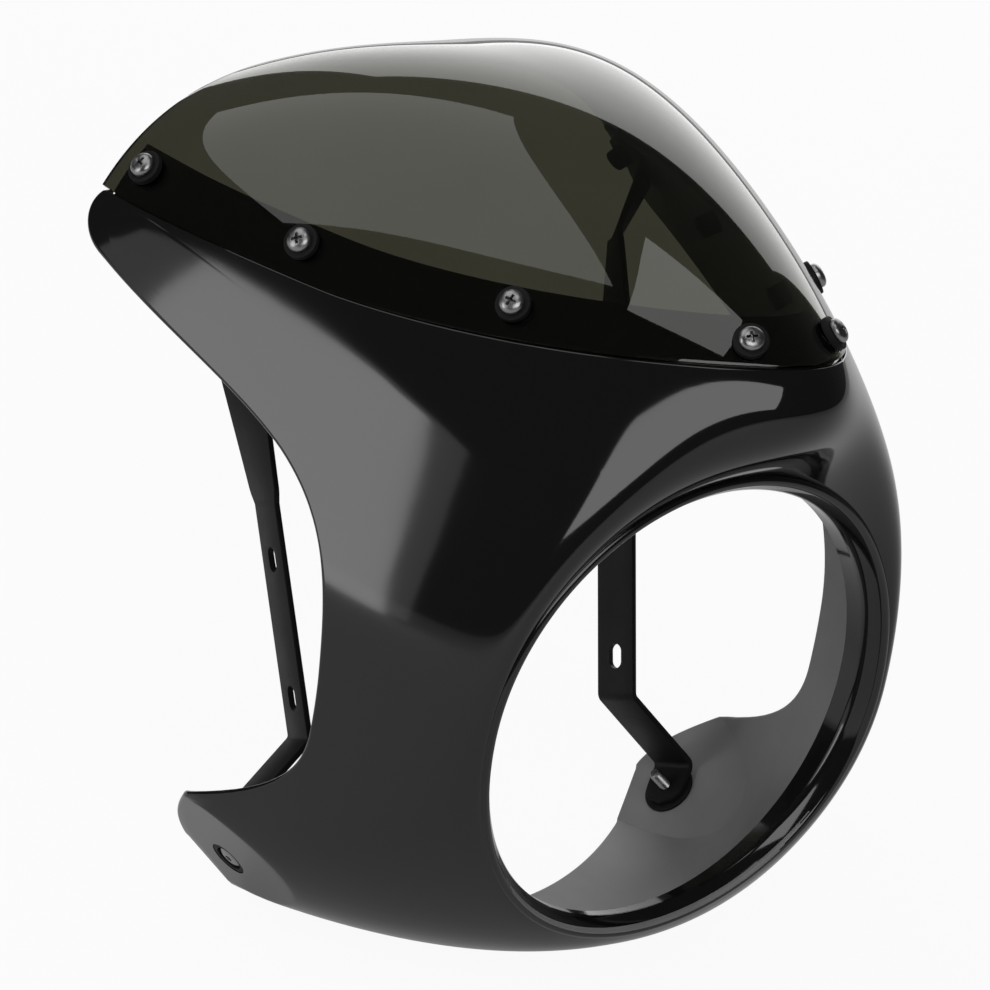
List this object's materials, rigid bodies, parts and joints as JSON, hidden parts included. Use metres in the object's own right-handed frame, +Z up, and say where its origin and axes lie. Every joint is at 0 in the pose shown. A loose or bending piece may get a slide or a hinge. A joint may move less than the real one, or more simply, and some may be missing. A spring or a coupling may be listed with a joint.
{
  "type": "motorcycle headlight cowl",
  "caption": "Bikini fairing with a round headlight opening, a dark bubble screen on rubber well nuts and slotted steel straps on its lower ears.",
  "frame": {"origin": "centre of the sleeve's rear edge, on the headlight axis", "axes": "+X to the vehicle's left, -Y to the front, +Z up"},
  "size_m": [0.2904, 0.2841, 0.3313],
  "materials": {
    "abs_black": "gloss black, matt grey inside",
    "smoke_screen": "clear dark smoke tint",
    "black_steel": "black satin coating",
    "rubber_black": "matt",
    "zinc_steel": "zinc plated"
  },
  "bodies": {
    "root": {"cowl_shell": "abs_black", "windscreen": "smoke_screen", "bracket_left": "black_steel", "bracket_right": "black_steel", "ear_grommet_left": "rubber_black", "ear_grommet_right": "rubber_black", "ear_bolt_left": "zinc_steel", "ear_bolt_right": "zinc_steel", "well_nut_1": "rubber_black", "well_nut_2": "rubber_black", "well_nut_3": "rubber_black", "well_nut_4": "rubber_black", "well_nut_5": "rubber_black", "well_nut_6": "rubber_black", "well_nut_7": "rubber_black", "well_nut_8": "rubber_black", "screen_screw_1": "zinc_steel", "screen_screw_2": "zinc_steel", "screen_screw_3": "zinc_steel", "screen_screw_4": "zinc_steel", "screen_screw_5": "zinc_steel", "screen_screw_6": "zinc_steel", "screen_screw_7": "zinc_steel", "screen_screw_8": "zinc_steel"}
  },
  "joints": []
}
